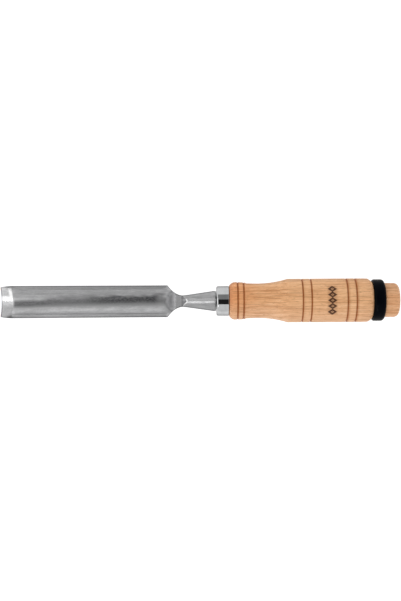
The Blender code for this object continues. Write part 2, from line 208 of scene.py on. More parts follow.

# The painted dark reflection along the hollow's floor, as stops along X: how dark it is, and over what
# width its far side fades.
FLOOR_REFLECTION_DEPTH = (
    (-130.0 * MM, 0.7), (-112.0 * MM, 0.68), (-98.0 * MM, 0.6), (-86.0 * MM, 0.62), (-72.0 * MM, 0.86),
    (-58.0 * MM, 0.94), (-31.0 * MM, 0.94),
)
FLOOR_REFLECTION_FADE = (
    (-130.0 * MM, 2.4 * MM), (-114.0 * MM, 2.6 * MM), (-100.0 * MM, 5.4 * MM), (-88.0 * MM, 4.9 * MM),
    (-76.0 * MM, 2.6 * MM), (-31.0 * MM, 2.4 * MM),
)

# Painted shade on the handle's wood about its axis, as stops of brightness from its near side to its
# far side.
HANDLE_PAINTED_SHADING = ((-1.0, 0.8), (-0.75, 0.92), (-0.35, 0.99), (0.0, 1.05), (0.84, 1.02), (1.0, 0.68))

# How strongly painted light brightens the wood's near side, as stops along X.
NEAR_SIDE_PAINTED_LIGHT = (
    (8.0 * MM, 0.75), (20.0 * MM, 0.95), (38.0 * MM, 0.75), (50.0 * MM, 0.6), (95.0 * MM, 0.55),
    (100.0 * MM, 0.0), (116.3 * MM, 0.0),
)

# Contrast of the wood's grain about its middle tone, as stops along X: strongest on waist and butt.
GRAIN_MIDDLE = 0.49
GRAIN_CONTRAST = (
    (8.0 * MM, 1.0), (17.0 * MM, 1.1), (22.0 * MM, 1.6), (42.0 * MM, 1.5), (52.0 * MM, 1.0),
    (98.0 * MM, 1.0), (106.0 * MM, 1.7), (116.3 * MM, 1.7),
)

# Burned ornament across the barrel: a chain of lozenges, each with a dot.
ORNAMENT_X = 72.7 * MM
ORNAMENT_HALF_LENGTH = 2.7 * MM
ORNAMENT_PITCH = 3.6 * MM
ORNAMENT_HALF_SPAN = 9.0 * MM

# How strongly the blade's painted shade masks darken the steel, and how strongly its painted edge
# highlight brightens it.
PAINTED_SHADE_DEPTHS = (("land", 0.85), ("mouth", 0.4), ("climb", 0.78), ("wall", 0.7))
EDGE_HIGHLIGHT_DEPTH = 0.45

# Colours, as linear red, green and blue. Those in pairs with a number are stops of a gradient.
STEEL_TONES = ((0.35, (0.38, 0.38, 0.385)), (0.65, (0.6, 0.6, 0.605)))
# Painted dark reflection along the hollow's floor.
STEEL_DARK_REFLECTION = (0.045, 0.045, 0.048)
# Painted shade along the blade's side lands, lines, crease and rise.
STEEL_PAINTED_SHADE = (0.1, 0.1, 0.105)
# Painted highlight along the edge where the dip meets the bolster's roof.
STEEL_HIGHLIGHT = (0.9, 0.9, 0.9)
# The bevel's near half in painted shade, its far half in painted light, and its painted highlight.
BEVEL_SHADED_HALF = (0.4, 0.4, 0.405)
BEVEL_LIT_HALF = (0.54, 0.54, 0.545)
BEVEL_HIGHLIGHT = (0.94, 0.94, 0.94)
BEVEL_EDGE = (0.09, 0.09, 0.095)
CHROME_TONES = ((0.35, (0.46, 0.465, 0.47)), (0.7, (0.53, 0.535, 0.54)))
WOOD_TONES = ((0.34, (0.62, 0.31, 0.14)), (0.5, (0.84, 0.475, 0.245)), (0.64, (0.94, 0.59, 0.34)))
# Tints along the handle, redder towards both ends; the darkest stop, at the bead's front by the
# ferrule, is painted shade.
WOOD_TINTS_AND_SHADE = (
    (0.0, (0.66, 0.48, 0.4)), (0.03, (0.93, 0.74, 0.62)), (0.18, (0.89, 0.81, 0.735)),
    (0.4, (0.99, 0.99, 0.98)), (0.88, (1.0, 1.0, 1.0)), (0.93, (0.93, 0.87, 0.85)),
)
# Painted light on the wood's near side.
WOOD_NEAR_LIGHT = (1.0, 1.02, 1.12)
WOOD_FLECK = (0.3, 0.13, 0.05)
WOOD_LINE = (0.36, 0.155, 0.06)
CHAR_BROWN = (0.3, 0.078, 0.009)
SMOKE_BROWN = (0.3, 0.11, 0.04)
BURN_BLACK = (0.035, 0.01, 0.004)
BLACK_TONES = (
    (0.3, (0.001, 0.0014, 0.003)), (0.66, (0.002, 0.0026, 0.004)), (0.8, (0.012, 0.013, 0.016)),
)
TABLE_TONES = ((0.2, (0.28, 0.28, 0.28)), (0.8, (0.32, 0.32, 0.32)))

# The tree's pith, outside the handle, and the thickness of a year's ring.
PITH = (0.0, -31.0 * MM, -24.0 * MM)
RING = 1.9 * MM

# Keeps only a vector's part across the tool.
ACROSS = (0.0, 1.0, 1.0)

# Fineness of the meshes.
TURNING_STEPS = 144
CORNER_STEPS = 6
HOLLOW_STEPS = 22
MOUTH_STEPS = 6
RIM_STEPS = 14
LAND_STEPS = 3
BACK_STEPS = 20
SHARP_ANGLE = math.radians(30.0)

# Name under which each mesh keeps its vertices' tool coordinates.
TOOL_POSITION = "tool_position"

# Camera, over the blade's neck and square to the tool axis.
CAMERA_X = -20.0 * MM
CAMERA_Y = 0.42 * MM
CAMERA_DISTANCE = 704.0 * MM
CAMERA_ROLL = math.radians(-0.33)
FRAME_HEIGHT = 384.6 * MM
VIEW_CENTRE_X = -10.1 * MM
SENSOR_WIDTH = 36.0

# Studio sky: its brightness on the near and far sides, and strips overhead given by the Y of
# their middle direction, their half-width and their brightness beside the rest. A strip's sides
# fade over its blur, and its ends between two distances along X.
SKY_NEAR = 0.96
SKY_FAR = 1.12
SKY_STRIPS = ((-0.12, 0.33, 0.02), (0.49, 0.30, 0.3))
STRIP_BLUR = 0.02
STRIP_ENDS = (0.4, 0.55)
FLOOR_HALF_SIZE = 8.0


# -------- shape helpers

def mix(a, b, share):
    return a + (b - a) * share


def smooth_step(low, high, value):
    share = min(max((value - low) / (high - low), 0.0), 1.0)
    return share * share * (3.0 - 2.0 * share)


def smooth_min(a, b, blend):
    """The lower of a and b, rounded off where they come within blend of each other."""
    overlap = max(blend - abs(a - b), 0.0) / blend
    return min(a, b) - overlap * overlap * blend / 4.0


def smooth_max(a, b, blend):
    return -smooth_min(-a, -b, blend)


def circle_radius(half_chord, sagitta):
    return (half_chord ** 2 + sagitta ** 2) / (2.0 * sagitta)


def spaced(start, end, steps):
    """Steps equal stations after start, up to end."""
    return [mix(start, end, step / steps) for step in range(1, steps + 1)]


def arc(start, end, sagitta, steps):
    """Points after start, up to end, on the arc that bulges sagitta to the left of the chord."""
    start, end = Vector(start), Vector(end)
    chord = end - start
    left = Vector((-chord.y, chord.x)).normalized()
    half_chord = chord.length / 2.0
    radius = circle_radius(half_chord, abs(sagitta))
    side = math.copysign(1.0, sagitta)
    centre = (start + end) / 2.0 + left * side * (abs(sagitta) - radius)
    half_angle = math.asin(min(1.0, half_chord / radius))
    points = []
    for step in range(1, steps + 1):
        angle = half_angle * (2.0 * step / steps - 1.0)
        along = chord.normalized() * radius * math.sin(angle)
        points.append(tuple(centre + along + left * side * radius * math.cos(angle)))
    return points


def straight(start, end, steps):
    """Points after start, up to end, on the line between them."""
    run = end[0] - start[0]
    return [(x, mix(start[1], end[1], (x - start[0]) / run)) for x in spaced(start[0], end[0], steps)]


def round_sagitta(radius):
    """Rise of the arc that rounds a square corner with this radius."""
    return radius * (1.0 - math.sqrt(0.5))


def tool_matrix():
    """Places tool coordinates in the frame, from the butt's striking face."""
    mounts = {mount["name"]: mount for mount in frame["record"]["mounts"]}
    face = mounts["striking_face"]
    along = Vector(face["axis"]).normalized()
    across = Vector((0.0, 1.0, 0.0))
    up = along.cross(across)
    origin = Vector(face["pos_m"]) - along * BUTT_X
    return Matrix.Translation(origin) @ Matrix((along, across, up)).transposed().to_4x4()


def add_piece(name, form, node, material, masks=None):
    """Turns a bmesh in tool coordinates into a finished piece that stands for a CAD node.

    Masks are functions of a vertex's place, stored with the mesh for the materials to read,
    as is the place itself.
    """
    mesh = bpy.data.meshes.new(name)
    bmesh.ops.recalc_face_normals(form, faces=form.faces)
    form.to_mesh(mesh)
    form.free()
    places = mesh.attributes.new(TOOL_POSITION, "FLOAT_VECTOR", "POINT")
    for vertex, place in zip(mesh.vertices, places.data):
        place.vector = vertex.co
    for mask, amount in (masks or {}).items():
        layer = mesh.attributes.new(mask, "FLOAT", "POINT")
        for vertex, share in zip(mesh.vertices, layer.data):
            share.value = amount(vertex.co)
    mesh.transform(tool_matrix())
    mesh.materials.append(material)
    mesh.shade_smooth()
    mesh.set_sharp_from_angle(angle=SHARP_ANGLE)
    piece = bpy.data.objects.new(name, mesh)
    bpy.context.scene.collection.objects.link(piece)
    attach(piece, "root")
    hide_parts(node)


def skin(form, loops):
    """Joins neighbouring rings of equally many vertices with quads."""
    for loop, following in zip(loops, loops[1:]):
        for index in range(len(loop)):
            after = (index + 1) % len(loop)
            form.faces.new((loop[index], loop[after], following[after], following[index]))


def turned_form(outline, closed):
    """A bmesh turned about the tool axis. An open outline starts and ends on the axis."""
    form = bmesh.new()
    rings = outline if closed else outline[1:-1]
    loops = []
    for x, radius in rings:
        loop = []
        for step in range(TURNING_STEPS):
            turn = 2.0 * math.pi * step / TURNING_STEPS
            loop.append(form.verts.new((x, radius * math.sin(turn), radius * math.cos(turn))))
        loops.append(loop)
    if closed:
        skin(form, loops + loops[:1])
        return form
    skin(form, loops)
    for (x, _), loop in ((outline[0], loops[0]), (outline[-1], loops[-1])):
        pole = form.verts.new((x, 0.0, 0.0))
        for index in range(TURNING_STEPS):
            form.faces.new((pole, loop[index], loop[(index + 1) % TURNING_STEPS]))
    return form


# -------- blade

HOLLOW_RADIUS = circle_radius(HOLLOW_HALF_WIDTH, HOLLOW_DEPTH)
HOLLOW_FLOOR_Z = RIM_Z - HOLLOW_DEPTH
HOLLOW_CENTRE_Z = HOLLOW_FLOOR_Z + HOLLOW_RADIUS
BACK_RADIUS = circle_radius(BLADE_HALF_WIDTH, RIM_Z + BACK_DEPTH - LAND_HEIGHT)
BACK_CENTRE_Z = BACK_RADIUS - BACK_DEPTH


def blade_half_width(x):
    """Half-width of the blade, neck or bolster seen from above."""
    if x <= BEVEL_X:
        share = (x - EDGE_X) / (BEVEL_X - EDGE_X)
        bow = 4.0 * EDGE_CURVE * share * (1.0 - share)
        return mix(EDGE_HALF_WIDTH, BLADE_HALF_WIDTH, share) + bow
    if x <= SHOULDER_X:
        share = (x - BEVEL_X) / (SHOULDER_X - BEVEL_X)
        return mix(BLADE_HALF_WIDTH, SHOULDER_HALF_WIDTH, share)
    share = (NECK_X - x) / (NECK_X - SHOULDER_X)
    swept = NECK_HALF_WIDTH
    if share > 0.0:
        swept += (SHOULDER_HALF_WIDTH - NECK_HALF_WIDTH) * share ** SHOULDER_SWEEP_POWER
    return smooth_max(swept, bolster_half_width(x), MOUTH_BLEND)


def bolster_half_width(x):
    share = (x - BOLSTER_FRONT_X) / (BOLSTER_LIP_X - BOLSTER_FRONT_X)
    return mix(BOLSTER_FRONT_HALF_WIDTH, BOLSTER_BACK_HALF_WIDTH, min(share, 1.0))


def hollow_circle(x):
    """Centre height and radius of the hollow's section. Along the bevel it opens out."""
    if x >= BEVEL_X:
        return HOLLOW_CENTRE_Z, HOLLOW_RADIUS
    share = (x - EDGE_X) / (BEVEL_X - EDGE_X)
    centre_z = mix(BACK_CENTRE_Z, HOLLOW_CENTRE_Z, share)
    return centre_z, mix(BACK_RADIUS - EDGE_THICKNESS, HOLLOW_RADIUS, share)


def rim_height(x):
    """Height of the rims, of the dip behind them and of the rise to the bolster's ridge."""
    low = RIM_Z - DIP_DEPTH
    if x <= DIP_FLAT_END_X:
        return mix(RIM_Z, low, smooth_step(DIP_START_X, DIP_FLAT_START_X, x))
    run = DIP_END_X - DIP_FLAT_END_X
    radius = circle_radius(run, ROOF_RIDGE_Z * BOLSTER_FRONT_HALF_WIDTH + CLIMB_OVERSHOOT - low)
    dx = min(x - DIP_FLAT_END_X, radius)
    return low + radius - math.sqrt(radius ** 2 - dx ** 2)


def trough_height(x, y):
    """Height of the hollow's round section."""
    centre_z, radius = hollow_circle(x)
    return centre_z - math.sqrt(max(radius ** 2 - y ** 2, 0.0))


def end_wall_height(x):
    """Height of the slope that closes the hollow's back end."""
    return HOLLOW_FLOOR_Z + (x - SHOULDER_X) * math.tan(HOLLOW_END_SLOPE)


def hollow_height(x, y):
    """Height of the hollow's surface, which climbs out at its back end."""
    if x < BEVEL_X:
        return trough_height(x, y)
    return smooth_max(trough_height(x, y), end_wall_height(x), HOLLOW_END_BLEND)


def roof_height(x, y):
    """Height of the bolster's faceted top, lifted out of the way in front of the bolster."""
    if x < ROOF_START_X:
        return math.inf
    half_width = blade_half_width(x)
    ridge_z = ROOF_RIDGE_Z * half_width
    reach = abs(y)
    height = ridge_z - reach * math.tan(RIDGE_FACET_SLOPE)
    if reach > RIDGE_FACET_WIDTH:
        crease_z = ridge_z - RIDGE_FACET_WIDTH * math.tan(RIDGE_FACET_SLOPE)
        share = (reach - RIDGE_FACET_WIDTH) / (half_width - RIDGE_FACET_WIDTH)
        height = mix(crease_z, ROOF_EAVE_Z * half_width, share)
    lift = 1.0 - smooth_step(ROOF_START_X, ROOF_CLEAR_X, x)
    return height + lift * RIM_Z


def cut_height(x, y):
    """Height of the rims, the hollow and the dip behind it."""
    near_end = smooth_step(SHOULDER_X - END_WALL_REACH, SHOULDER_X, x)
    blend = mix(MOUTH_BLEND, HOLLOW_END_BLEND, near_end)
    return smooth_min(rim_height(x), hollow_height(x, y), blend)


def top_height(x, y):
    return smooth_min(cut_height(x, y), roof_height(x, y), ROOF_BLEND)


def hull_height(half_width, y):
    """Height of the bolster's underside."""
    hip_y, hip_z = HULL_HIP
    share = abs(y) / half_width
    if share < hip_y:
        return mix(HULL_KEEL_Z, hip_z, share / hip_y) * half_width
    return mix(hip_z, HULL_CORNER_Z, (share - hip_y) / (1.0 - hip_y)) * half_width


def bottom_height(x, y):
    back = BACK_CENTRE_Z - math.sqrt(BACK_RADIUS ** 2 - y ** 2)
    share = smooth_step(BOLSTER_BLEND_X, BOLSTER_FRONT_X, x)
    return mix(back, hull_height(blade_half_width(x), y), share)


def mouth_half_width(x, half_width):
    """Where the hollow breaks through the rim, or the roof's crease on the bolster."""
    centre_z, radius = hollow_circle(x)
    mouth = math.sqrt(max(radius ** 2 - (centre_z - rim_height(x)) ** 2, 0.0))
    mouth = mix(mouth, RIDGE_FACET_WIDTH, smooth_step(SHOULDER_X, NECK_X, x))
    return min(mouth, half_width - 4.0 * CORNER_ROUND)


def blade_half_section(x):
    """Points (y, z) of one side of the section, from the top's middle to the keel."""
    half_width = blade_half_width(x)
    mouth = mouth_half_width(x, half_width)
    thickness = top_height(x, half_width) - bottom_height(x, half_width)
    rounding = min(CORNER_ROUND, thickness / 3.0)
    corner_y = half_width - rounding
    columns = [0.0] + spaced(0.0, mouth - MOUTH_BLEND, HOLLOW_STEPS)
    columns += spaced(mouth - MOUTH_BLEND, mouth + MOUTH_BLEND, MOUTH_STEPS)
    columns += spaced(mouth + MOUTH_BLEND, corner_y, RIM_STEPS)
    points = [(y, top_height(x, y)) for y in columns]
    corner_arc = []
    for step in range(1, CORNER_STEPS + 1):
        turn = math.pi / 2.0 * step / CORNER_STEPS
        corner_arc.append((corner_y + rounding * math.sin(turn), rounding * (1.0 - math.cos(turn))))
    points += [(y, top_height(x, y) - fall) for y, fall in corner_arc]
    land_top = points[-1][1]
    land_foot = bottom_height(x, half_width) + rounding
    points += [(half_width, z) for z in spaced(land_top, land_foot, LAND_STEPS)]
    points += [(y, bottom_height(x, y) + fall) for y, fall in reversed(corner_arc[:-1])]
    points += [(y, bottom_height(x, y)) for y in [corner_y] + spaced(corner_y, 0.0, BACK_STEPS)]
    return points


def square_half_section(points, width):
    """Draws a half section out radially onto a square of this width."""
    drawn = []
    for y, z in points:
        scale = width / 2.0 / max(abs(y), abs(z))
        drawn.append((y * scale, z * scale))
    return drawn


def blade_stations():
    stations = [EDGE_X] + spaced(EDGE_X, BEVEL_X - CRISP, 20)
    stations += [BEVEL_X + CRISP] + spaced(BEVEL_X + CRISP, HOLLOW_BACK_X, 40)
    stations += spaced(HOLLOW_BACK_X, SHOULDER_X, 16)
    stations += spaced(SHOULDER_X, ROOF_START_X, 32)
    stations += spaced(ROOF_START_X, CLIMB_BACK_X, 44)
    stations += spaced(CLIMB_BACK_X, BOLSTER_LIP_X, 20)
    return stations + [BOLSTER_LIP_X + CRISP]


def full_loop(form, x, half_section):
    """The vertices of a whole section, from its far half."""
    right = [form.verts.new((x, y, z)) for y, z in half_section]
    left = [form.verts.new((x, -y, z)) for y, z in reversed(half_section[1:-1])]
    return right + left


def make_blade():
    form = bmesh.new()
    sections = [(x, blade_half_section(x)) for x in blade_stations()]
    lip = blade_half_section(BOLSTER_LIP_X)
    lip_edge = [(y * LIP_EDGE_SHARE, z * LIP_EDGE_SHARE) for y, z in lip]
    sections.append((BOLSTER_BACK_X, lip_edge))
    sections.append((BOLSTER_BACK_X, square_half_section(lip, TANG_ROOT_WIDTH)))
    sections.append((TANG_LENGTH, square_half_section(lip, TANG_TIP_WIDTH)))
    loops = [full_loop(form, x, half_section) for x, half_section in sections]
    skin(form, loops)
    for loop in (loops[0], loops[-1]):
        bmesh.ops.triangulate(form, faces=[form.faces.new(loop)])
    masks = {
        "bevel": bevel_share, "land": land_shade_share, "mouth": mouth_shade_share, "climb": climb_shade_share,
        "edge_highlight": edge_highlight_share, "wall": wall_share, "crease": crease_shade_share,
    }
    add_piece("gouge_blade", form, "blade", steel(), masks)


def bevel_share(position):
    """1 on the ground bevel inside the cutting edge, 0 elsewhere."""
    if position.x > BEVEL_X:
        return 0.0
    surface = top_height(position.x, position.y)
    return 1.0 if abs(position.z - surface) < EDGE_THICKNESS / 2.0 else 0.0


def land_shade_share(position):
    """Painted shade: 1 on and just inside the upright sides, fainter along the bevel and widest at its
    back.
    """
    if position.x > BOLSTER_LIP_X:
        return 0.0
    reach = blade_half_width(position.x) - abs(position.y)
    ahead = smooth_step(EDGE_X, BEVEL_X, position.x)
    behind = smooth_step(BEVEL_X, BEVEL_X + LAND_FLARE_LENGTH, position.x)
    flare = LAND_FLARE * ahead * (1.0 - behind)
    low, high = LAND_FADE
    return mix(LAND_BEVEL_SHARE, 1.0, ahead) * (1.0 - smooth_step(low + flare, high + flare, reach))


def mouth_shade_share(position):
    """Painted shade: 1 along the line where the hollow breaks through the rims, fading to both sides.
    """
    if not BEVEL_X < position.x < SHOULDER_X or position.z < RIM_Z - LAND_HEIGHT:
        return 0.0
    mouth = mouth_half_width(position.x, blade_half_width(position.x))
    return 1.0 - smooth_step(*MOUTH_FADE, abs(abs(position.y) - mouth))


def wall_rise(position):
    """How far the end wall stands over the hollow's round section, or None away from it."""
    near_wall = SHOULDER_X - END_WALL_REACH < position.x < ROOF_START_X
    if not near_wall or position.z < HOLLOW_FLOOR_Z:
        return None
    return end_wall_height(position.x) - trough_height(position.x, position.y)


def wall_share(position):
    """1 on the hollow's end wall, fading in before its foot and out past its upper edge."""
    rise = wall_rise(position)
    if rise is None:
        return 0.0
    below_rim = rim_height(position.x) - end_wall_height(position.x)
    side = mix(1.0, WALL_NEAR_SHARE, smooth_step(*WALL_NEAR_REACH, -position.y))
    return side * smooth_step(*WALL_FOOT_FADE, rise) * smooth_step(*WALL_EDGE_FADE, below_rim)


def crease_shade_share(position):
    """Painted shade: 1 along the line where the end wall meets the hollow's far flank, fainter on the
    near one.
    """
    rise = wall_rise(position)
    if rise is None:
        return 0.0
    far_arm = smooth_step(*CREASE_START, position.y)
    near_arm = smooth_step(*CREASE_START, -position.y)
    return (far_arm + CREASE_NEAR_SHARE * near_arm) * (1.0 - smooth_step(*CREASE_FADE, abs(rise)))


def roof_clearance(position):
    """How far the dip's surface lies under the bolster's roof, or None away from both."""
    if not ROOF_START_X < position.x < ROOF_END_X or position.z < 0.0:
        return None
    return roof_height(position.x, position.y) - cut_height(position.x, position.y)


def climb_shade_share(position):
    """Painted shade: 1 where the dip climbs towards the bolster's roof, 0 elsewhere."""
    clearance = roof_clearance(position)
    if clearance is None:
        return 0.0
    begun = smooth_step(ROOF_START_X, ROOF_START_X + CLIMB_START_LENGTH, position.x)
    return begun * smooth_step(*CLIMB_FADE, clearance)


def edge_highlight_share(position):
    """Painted highlight: 1 along the edge where the dip meets the bolster's roof, on its near side
    only.
    """
    clearance = roof_clearance(position)
    if clearance is None:
        return 0.0
    return smooth_step(*EDGE_HIGHLIGHT_SIDE, -position.y) * (1.0 - smooth_step(*EDGE_HIGHLIGHT_FADE, abs(clearance)))


# -------- ferrule, handle and hoop

def make_ferrule():
    inner = FERRULE_BACK_RADIUS - FERRULE_WALL
    face_edge = (0.0, FERRULE_FRONT_RADIUS - FERRULE_FRONT_ROUND)
    front_top = (FERRULE_FRONT_ROUND, FERRULE_FRONT_RADIUS)
    back_top = (FERRULE_LENGTH - FERRULE_BACK_ROUND, FERRULE_BACK_RADIUS)
    back_edge = (FERRULE_LENGTH, FERRULE_BACK_RADIUS - FERRULE_BACK_ROUND)
    outline = [(FERRULE_FACE_THICKNESS, FERRULE_HOLE_RADIUS), (0.0, FERRULE_HOLE_RADIUS), face_edge]
    outline += arc(face_edge, front_top, round_sagitta(FERRULE_FRONT_ROUND), 8)
    outline += straight(front_top, back_top, 8)
    outline += arc(back_top, back_edge, round_sagitta(FERRULE_BACK_ROUND), 5)
    outline += [(FERRULE_LENGTH, inner), (FERRULE_FACE_THICKNESS, inner)]
    form = turned_form(outline, True)
    add_piece("ferrule_cup", form, "ferrule", chrome())


def grooved(start, end, steps):
    """A straight stretch of the handle's outline, fine enough to dip into its grooves."""
    stations = set(spaced(start[0], end[0], steps))
    for groove_x in GROOVE_STATIONS:
        if start[0] < groove_x < end[0]:
            stations -= {x for x in stations if abs(x - groove_x) < GROOVE_HALF_WIDTH}
            stations.add(groove_x - GROOVE_HALF_WIDTH)
            stations |= set(spaced(groove_x - GROOVE_HALF_WIDTH, groove_x + GROOVE_HALF_WIDTH, 10))
    outline = []
    for x in sorted(stations):
        radius = mix(start[1], end[1], (x - start[0]) / (end[0] - start[0]))
        outline.append((x, radius - groove_depth(x)))
    return outline


def groove_depth(x):
    nearest = min(abs(x - groove_x) for groove_x in GROOVE_STATIONS)
    if nearest >= GROOVE_HALF_WIDTH:
        return 0.0
    return GROOVE_DEPTH * (1.0 + math.cos(math.pi * nearest / GROOVE_HALF_WIDTH)) / 2.0


def handle_outline():
    """The handle from the bottom of the tang's bore, round the outside, to the butt."""
    seat_radius = FERRULE_BACK_RADIUS - FERRULE_WALL - GAP
    seat_x = FERRULE_FACE_THICKNESS + GAP
    bore_x = TANG_LENGTH + POCKET_SPARE
    bore_mouth_radius = TANG_ROOT_WIDTH * math.sqrt(0.5) + GAP
    bore_foot_radius = TANG_TIP_WIDTH * math.sqrt(0.5) + GAP
    bead_start = (FERRULE_LENGTH + GAP, BEAD_START_RADIUS)
    bead_top = (BEAD_X, BEAD_RADIUS)
    band_back = (BAND_BACK_X, BAND_BACK_RADIUS)
    waist_start = (WAIST_START_X, WAIST_START_RADIUS)
    waist = (WAIST_X, WAIST_RADIUS)
    swell = (SWELL_X, SWELL_RADIUS)
    barrel_start = (BARREL_START_X, BARREL_RADIUS)
    barrel_back = (BARREL_BACK_X, BARREL_BACK_RADIUS)
    back_edge = (HANDLE_BACK_X, BARREL_RADIUS)
    shoulder = (HOOP_FRONT_X - GAP, HANDLE_BACK_EDGE_RADIUS)
    seat_start = (shoulder[0], HOOP_SEAT_RADIUS)
    butt_edge = (BUTT_X - BUTT_ROUND, HOOP_SEAT_RADIUS)
    butt_face = (BUTT_X, HOOP_SEAT_RADIUS - BUTT_ROUND)
    outline = [(bore_x, 0.0), (bore_x, bore_foot_radius), (seat_x, bore_mouth_radius)]
    outline += [(seat_x, seat_radius), (bead_start[0], seat_radius), bead_start]
    outline += arc(bead_start, bead_top, BEAD_BULGE, 16)
    outline += grooved(bead_top, band_back, 6)
    outline += arc(band_back, waist_start, -BAND_DIP, 5)
    outline += arc(waist_start, waist, -WAIST_FRONT_DIP, 5)
    outline += arc(waist, swell, -WAIST_BACK_DIP, 24)
    outline += arc(swell, barrel_start, SWELL_BULGE, 3)
    outline += grooved(barrel_start, barrel_back, 30)
    outline += [back_edge] + arc(back_edge, shoulder, HANDLE_BACK_BULGE, 8)
    outline += [seat_start] + straight(seat_start, butt_edge, 6)
    outline += arc(butt_edge, butt_face, round_sagitta(BUTT_ROUND), 14)
    outline += [(BUTT_X, radius) for radius in spaced(butt_face[1], 0.0, 8)]
    return outline


def char_share(position):
    """How burned the wood is by the wire that cut the grooves, from 0 to 1."""
    nearest = min(abs(position.x - groove_x) for groove_x in GROOVE_STATIONS)
    if math.hypot(position.y, position.z) < HOOP_SEAT_RADIUS:
        return 0.0
    return 1.0 - smooth_step(CHAR_CORE, CHAR_REACH, nearest)


def make_handle():
    form = turned_form(handle_outline(), False)
    add_piece("turned_handle", form, "handle", wood(), {"char": char_share})


def make_hoop():
    front_edge = (HOOP_FRONT_X, HOOP_FRONT_EDGE_RADIUS)
    front_top = (HOOP_FRONT_X + HOOP_FRONT_ROUND, HOOP_RADIUS)
    back_top = (HOOP_BACK_X - HOOP_BACK_ROUND, HOOP_RADIUS)
    back_edge = (HOOP_BACK_X, HOOP_BACK_EDGE_RADIUS)
    outline = [(HOOP_FRONT_X, HOOP_BORE_RADIUS), front_edge]
    outline += arc(front_edge, front_top, HOOP_FRONT_BULGE, 10)
    outline += straight(front_top, back_top, 6)
    outline += arc(back_top, back_edge, HOOP_BACK_BULGE, 14)
    outline += [(HOOP_BACK_X, HOOP_BORE_RADIUS)]
    form = turned_form(outline, True)
    add_piece("hoop_ring", form, "striking_hoop", black_paint())


# -------- material helpers

def new_material(name):
    """A material with its node tree and shader."""
    material = bpy.data.materials.new(name)
    material.use_nodes = True
    return material, material.node_tree, material.node_tree.nodes["Principled BSDF"]


def add_node(tree, kind, inputs=None, **settings):
    """Adds a node, sets its properties, and links or sets its inputs."""
    node = tree.nodes.new(kind)
    for key, value in settings.items():
        setattr(node, key, value)
    for key, value in (inputs or {}).items():
        if isinstance(value, bpy.types.NodeSocket):
            tree.links.new(value, node.inputs[key])
        else:
            node.inputs[key].default_value = value
    return node


def tool_position(tree):
    return add_node(tree, "ShaderNodeAttribute", attribute_name=TOOL_POSITION).outputs["Vector"]


def painted(tree, mask):
    return add_node(tree, "ShaderNodeAttribute", attribute_name=mask).outputs["Fac"]


def components(tree, vector):
    return add_node(tree, "ShaderNodeSeparateXYZ", {"Vector": vector}).outputs


def vector_math(tree, operation, first, second=(0.0, 0.0, 0.0)):
    node = add_node(tree, "ShaderNodeVectorMath", {0: first, 1: second}, operation=operation)
    return node.outputs["Value" if operation == "LENGTH" else "Vector"]


def calculate(tree, operation, first, second=0.0, third=0.0):
    inputs = {0: first, 1: second, 2: third}
    return add_node(tree, "ShaderNodeMath", inputs, operation=operation).outputs[0]


def product(tree, first, *others):
    for other in others:
        first = calculate(tree, "MULTIPLY", first, other)
    return first


def weighted(tree, *terms):
    """The sum of (value, weight) terms."""
    total = 0.0
    for value, weight in terms:
        total = calculate(tree, "MULTIPLY_ADD", value, weight, total)
    return total


def noise(tree, position, along, across, detail, roughness, distortion=0.0):
    """Noise with marks about along metres long down the tool and across metres wide."""
    scale = (1.0 / along, 1.0 / across, 1.0 / across)
    vector = add_node(tree, "ShaderNodeMapping", {"Vector": position, "Scale": scale}).outputs[0]
    inputs = {"Vector": vector, "Scale": 1.0, "Detail": detail, "Roughness": roughness}
    inputs["Distortion"] = distortion
    return add_node(tree, "ShaderNodeTexNoise", inputs).outputs["Fac"]


def remap(tree, value, from_low, from_high, to_low=0.0, to_high=1.0, smooth=False):
    """Value moved from one range to another and held inside it."""
    inputs = {"Value": value, "From Min": from_low, "From Max": from_high}
    inputs.update({"To Min": to_low, "To Max": to_high})
    kind = "SMOOTHSTEP" if smooth else "LINEAR"
    return add_node(tree, "ShaderNodeMapRange", inputs, interpolation_type=kind).outputs[0]


def mixed(tree, share, first, second):
    """The number first where share is 0, second where it is 1."""
    inputs = {"Factor": share, "A": first, "B": second}
    return add_node(tree, "ShaderNodeMix", inputs, data_type="FLOAT").outputs[0]


def blend_colour(tree, share, first, second, kind="MIX"):
    node = add_node(tree, "ShaderNodeMix", data_type="RGBA", blend_type=kind)
    for socket, value in ((node.inputs[0], share), (node.inputs[6], first), (node.inputs[7], second)):
        if isinstance(value, bpy.types.NodeSocket):
            tree.links.new(value, socket)
        elif isinstance(value, tuple):
            socket.default_value = (*value, 1.0)
        else:
            socket.default_value = value
    return node.outputs[2]


def tinted(tree, colour, tint):
    return blend_colour(tree, 1.0, colour, tint, "MULTIPLY")


def gradient(tree, value, stops):
    """A colour ramp through (place, colour) stops."""
    node = add_node(tree, "ShaderNodeValToRGB", {"Fac": value})
    ramp = node.color_ramp
    for place, colour in stops[2:]:
        ramp.elements.new(place)
    for element, (place, colour) in zip(ramp.elements, stops):
        element.position = place
        element.color = (*colour, 1.0)
    return node.outputs["Color"]


def profile(tree, value, stops):
    """The number that (value, number) stops give, in straight lines between them."""
    low, high = stops[0][0], stops[-1][0]
    most = max(number for _, number in stops)
    places = [((at - low) / (high - low), (number / most,) * 3) for at, number in stops]
    return product(tree, gradient(tree, remap(tree, value, low, high), places), most)


def bump(tree, height, distance, strength, normal=None):
    inputs = {"Height": height, "Distance": distance, "Strength": strength}
    if normal is not None:
        inputs["Normal"] = normal
    return add_node(tree, "ShaderNodeBump", inputs).outputs["Normal"]


# -------- materials

